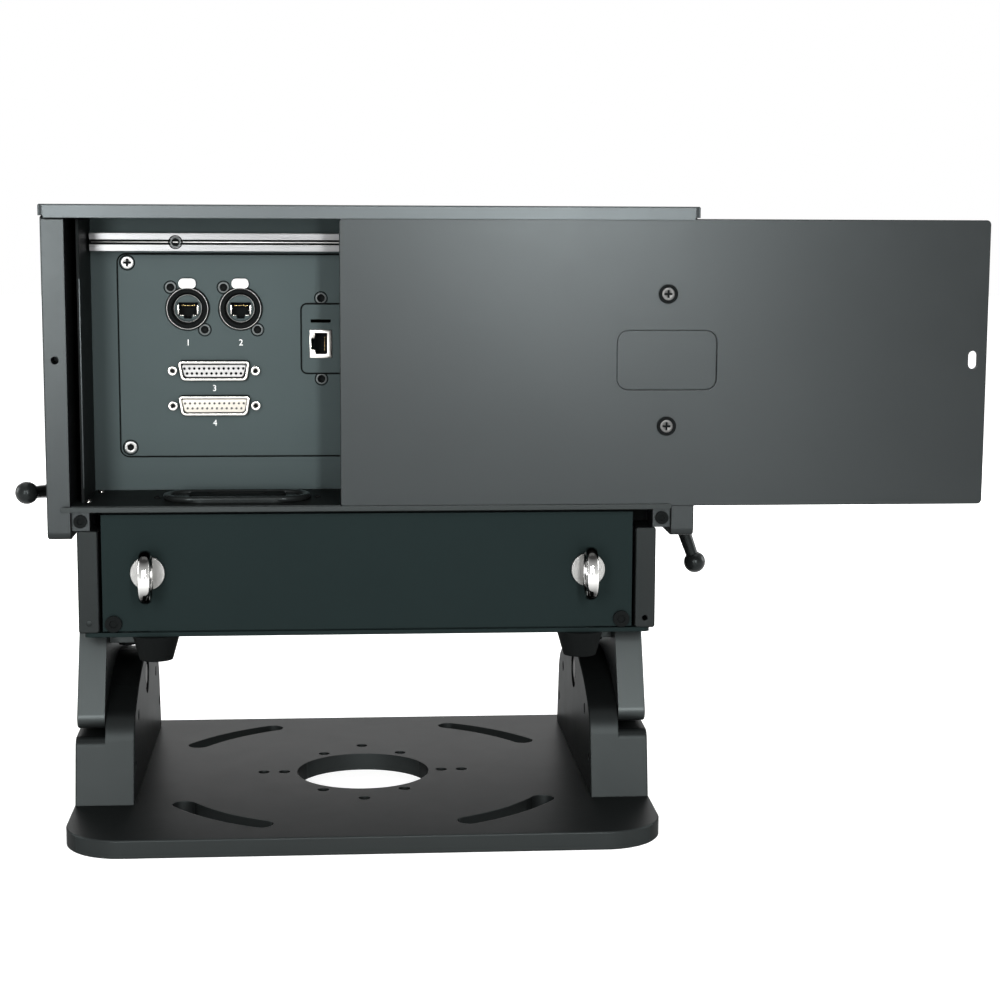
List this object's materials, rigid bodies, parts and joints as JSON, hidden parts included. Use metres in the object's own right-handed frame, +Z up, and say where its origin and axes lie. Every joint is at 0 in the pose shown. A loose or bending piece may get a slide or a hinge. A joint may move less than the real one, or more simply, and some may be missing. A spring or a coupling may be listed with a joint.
{
  "type": "laser show projector",
  "caption": "Laser show projector: a grey box head with a sliding rear door over its connector bay, tilting on lapped brackets above a slotted base plate.",
  "frame": {"origin": "centre of the base plate's centre hole, on the plate's underside", "axes": "+Z up along the centre hole, +X to the right seen from the connector side, +Y towards the output window"},
  "size_m": [0.5415, 0.316, 0.3394],
  "materials": {
    "grey_housing": "dark grey satin anodised",
    "black_panel": "black satin coated",
    "connector_panel": "dark grey satin anodised",
    "bare_aluminium": "brushed bare aluminium",
    "polished_chrome": "polished",
    "steel": "zinc plated",
    "black_steel": "black oxide",
    "connector_metal": "nickel plated",
    "black_rubber": "matte moulded",
    "black_plastic": "fine matte moulded",
    "lever_plastic": "semi-gloss black",
    "tab_plastic": "pale moulded",
    "circuit_board": "green lacquered board",
    "scan_mirror": "first-surface mirror",
    "window": "clear coated window"
  },
  "bodies": {
    "base": {"base_plate": "grey_housing", "bracket_screws": "black_steel", "left_base_bracket": "grey_housing", "right_base_bracket": "grey_housing", "pivot_bolts": "steel"},
    "head": {"left_arm": "grey_housing", "right_arm": "grey_housing", "arm_screws": "black_steel", "bottom_cover": "grey_housing", "lower_left_side": "grey_housing", "lower_right_side": "grey_housing", "lower_rear_panel": "black_panel", "lower_front_panel": "black_panel", "fan_frame": "black_plastic", "rubber_feet": "black_rubber", "power_supply": "bare_aluminium", "ring_bases": "polished_chrome", "corner_blocks": "grey_housing", "shelf": "grey_housing", "cable_grommet": "black_plastic", "grommet_seal": "black_rubber", "shelf_studs": "steel", "left_wall": "grey_housing", "right_wall": "grey_housing", "lid": "grey_housing", "housing_screws": "black_steel", "bay_liners": "grey_housing", "silver_rail": "bare_aluminium", "network_sockets": "connector_metal", "control_out_port": "connector_metal", "control_in_port": "connector_metal", "bay_screws": "steel", "inset_plate": "connector_panel", "side_jack": "connector_metal", "power_inlet": "black_plastic", "connector_plate": "connector_panel", "bay_back_panel": "black_panel", "lever_studs": "steel", "optics_base": "bare_aluminium", "laser_modules": "bare_aluminium", "combining_mirrors": "scan_mirror", "scanner_block": "bare_aluminium", "scanner_motors": "steel", "driver_board": "circuit_board", "upper_front_panel": "black_panel", "window_frame": "black_panel", "window_glass": "window"},
    "door": {"door": "grey_housing", "door_studs": "steel", "door_pull": "grey_housing"},
    "left_ring": {"left_ring": "polished_chrome"},
    "right_ring": {"right_ring": "polished_chrome"},
    "left_clamp_lever": {"left_clamp_lever": "lever_plastic"},
    "right_clamp_lever": {"right_clamp_lever": "lever_plastic"},
    "left_push_tab": {"left_push_tab": "tab_plastic"},
    "right_push_tab": {"right_push_tab": "tab_plastic"},
    "fan_rotor": {"fan_rotor": "black_plastic"},
    "first_scan_mirror": {"first_scan_mirror": "scan_mirror"},
    "second_scan_mirror": {"second_scan_mirror": "scan_mirror"}
  },
  "joints": [
    {"name": "head_tilt", "type": "hinge", "parent": "base", "child": "head", "pos_m": [0, 0.026, 0.064], "axis": [1, 0, 0], "range_deg": [-8, 1.5]},
    {"name": "door_slide", "type": "slide", "parent": "head", "child": "door", "axis": [1, 0, 0], "range_m": [-0.1608, 0]},
    {"name": "left_ring_swing", "type": "hinge", "parent": "head", "child": "left_ring", "pos_m": [-0.1182, -0.0622, 0.139], "axis": [0, 0, 1], "range_deg": [-75, 75]},
    {"name": "right_ring_swing", "type": "hinge", "parent": "head", "child": "right_ring", "pos_m": [0.125, -0.0622, 0.139], "axis": [0, 0, 1], "range_deg": [-75, 75]},
    {"name": "left_lever_turn", "type": "hinge", "parent": "head", "child": "left_clamp_lever", "pos_m": [-0.173, 0.035, 0.1736], "axis": [1, 0, 0], "range_deg": [-90, 90]},
    {"name": "right_lever_turn", "type": "hinge", "parent": "head", "child": "right_clamp_lever", "pos_m": [0.185, 0.035, 0.1736], "axis": [1, 0, 0], "range_deg": [-90, 90]},
    {"name": "left_tab_press", "type": "slide", "parent": "head", "child": "left_push_tab", "axis": [0, 1, 0], "range_m": [0, 0.0009], "stiffness_N_per_m": 300},
    {"name": "right_tab_press", "type": "slide", "parent": "head", "child": "right_push_tab", "axis": [0, 1, 0], "range_m": [0, 0.0009], "stiffness_N_per_m": 300},
    {"name": "fan_spin", "type": "hinge", "parent": "head", "child": "fan_rotor", "pos_m": [0.0634, 0.162, 0.1382], "axis": [0, 1, 0], "continuous": true},
    {"name": "first_mirror_scan", "type": "hinge", "parent": "head", "child": "first_scan_mirror", "pos_m": [0.006, 0.14, 0.2064], "axis": [0, 1, 0], "range_deg": [-12, 12], "stiffness_Nm_per_rad": 0.002},
    {"name": "second_mirror_scan", "type": "hinge", "parent": "head", "child": "second_scan_mirror", "pos_m": [0.006, 0.14, 0.2234], "axis": [1, 0, 0], "range_deg": [-12, 12], "stiffness_Nm_per_rad": 0.002}
  ]
}
